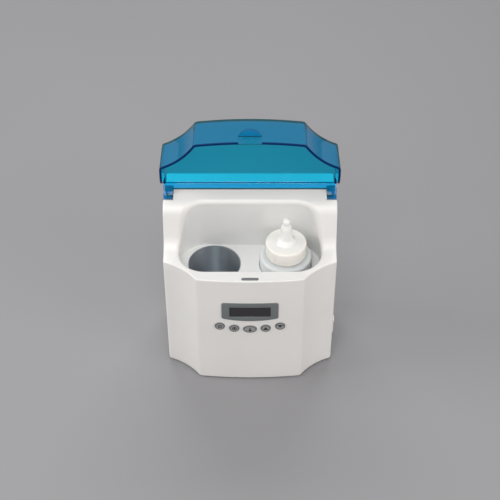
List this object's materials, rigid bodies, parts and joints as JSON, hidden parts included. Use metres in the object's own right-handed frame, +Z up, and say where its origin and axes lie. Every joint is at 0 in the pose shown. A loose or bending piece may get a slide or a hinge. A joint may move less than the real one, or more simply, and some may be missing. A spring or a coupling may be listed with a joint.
{
  "type": "gel bottle warmer",
  "caption": "Table-top warmer for gel bottles: white case with scooped corners and a swept rim, sunk metal wells, key panel and a hinged see-through lid.",
  "frame": {"origin": "centre of the part's footprint, on the surface that it stands on", "axes": "+X to the right of someone who faces the key panel, +Y to the rear, +Z up"},
  "size_m": [0.2025, 0.1382, 0.3244],
  "materials": {
    "case_white": "fine satin moulded surface",
    "cavity_white": "smooth satin",
    "base_white": "fine texture",
    "foot_rubber": "matte",
    "steel": "plated",
    "cup_metal": "dark anodised, drawn",
    "heater_silicone": "matte",
    "jacket_felt": "felt",
    "probe_black": "moulded",
    "bezel_grey": "satin",
    "window_black": "polished",
    "module_green": "glass and frame",
    "board_green": "solder mask",
    "catch_grey": "matte",
    "transformer_core": "varnished",
    "capacitor_sleeve": "shrunk sleeve",
    "inlet_black": "moulded",
    "blade_brass": "nickel-free",
    "switch_white": "moulded",
    "lid_blue": "polished see-through",
    "key_grey": "satin",
    "bottle_white": "soft translucent",
    "cap_white": "smooth",
    "nozzle_white": "smooth"
  },
  "bodies": {
    "case": {"case_shell": "case_white", "cavity_tub": "cavity_white", "base_plate": "base_white", "rubber_feet": "foot_rubber", "base_screws": "steel", "left_cup": "cup_metal", "right_cup": "cup_metal", "left_heater_mat": "heater_silicone", "right_heater_mat": "heater_silicone", "left_jacket": "jacket_felt", "right_jacket": "jacket_felt", "temperature_probes": "probe_black", "thermal_cutouts": "steel", "display_bezel": "bezel_grey", "display_window": "window_black", "display_module": "module_green", "control_board": "board_green", "tact_switches": "probe_black", "board_screws": "steel", "rim_catch": "catch_grey", "power_board": "board_green", "power_transformer": "transformer_core", "power_capacitors": "capacitor_sleeve", "power_relay": "probe_black", "mains_inlet": "inlet_black", "inlet_blades": "blade_brass", "inlet_screws": "steel", "switch_frame": "switch_white", "hinge_pins": "steel"},
    "lid": {"lid_cover": "lid_blue"},
    "rocker": {"switch_rocker": "switch_white"},
    "power_key": {"key_power": "key_grey"},
    "timer_key": {"key_timer": "key_grey"},
    "set_key": {"key_set": "key_grey"},
    "up_key": {"key_up": "key_grey"},
    "down_key": {"key_down": "key_grey"},
    "bottle": {"bottle_body": "bottle_white", "bottle_cap": "cap_white", "bottle_nozzle": "nozzle_white"}
  },
  "joints": [
    {"name": "lid_hinge", "type": "hinge", "parent": "case", "child": "lid", "pos_m": [0, 0.02752, 0.216], "axis": [-1, 0, 0], "range_deg": [-99.7, 0]},
    {"name": "rocker_tilt", "type": "hinge", "parent": "case", "child": "rocker", "pos_m": [0.0976, -0.02045, 0.052], "axis": [0, -1, 0], "range_deg": [0, 18]},
    {"name": "power_press", "type": "slide", "parent": "case", "child": "power_key", "axis": [0, 1, 0], "range_m": [0, 0.0008], "stiffness_N_per_m": 400, "springref_m": -0.001},
    {"name": "timer_press", "type": "slide", "parent": "case", "child": "timer_key", "axis": [0, 1, 0], "range_m": [0, 0.0008], "stiffness_N_per_m": 400, "springref_m": -0.001},
    {"name": "set_press", "type": "slide", "parent": "case", "child": "set_key", "axis": [0, 1, 0], "range_m": [0, 0.0008], "stiffness_N_per_m": 400, "springref_m": -0.001},
    {"name": "up_press", "type": "slide", "parent": "case", "child": "up_key", "axis": [0, 1, 0], "range_m": [0, 0.0008], "stiffness_N_per_m": 400, "springref_m": -0.001},
    {"name": "down_press", "type": "slide", "parent": "case", "child": "down_key", "axis": [0, 1, 0], "range_m": [0, 0.0008], "stiffness_N_per_m": 400, "springref_m": -0.001},
    {"name": "bottle_lift", "type": "slide", "parent": "case", "child": "bottle", "axis": [0, 0, 1], "range_m": [0, 0.12]}
  ]
}
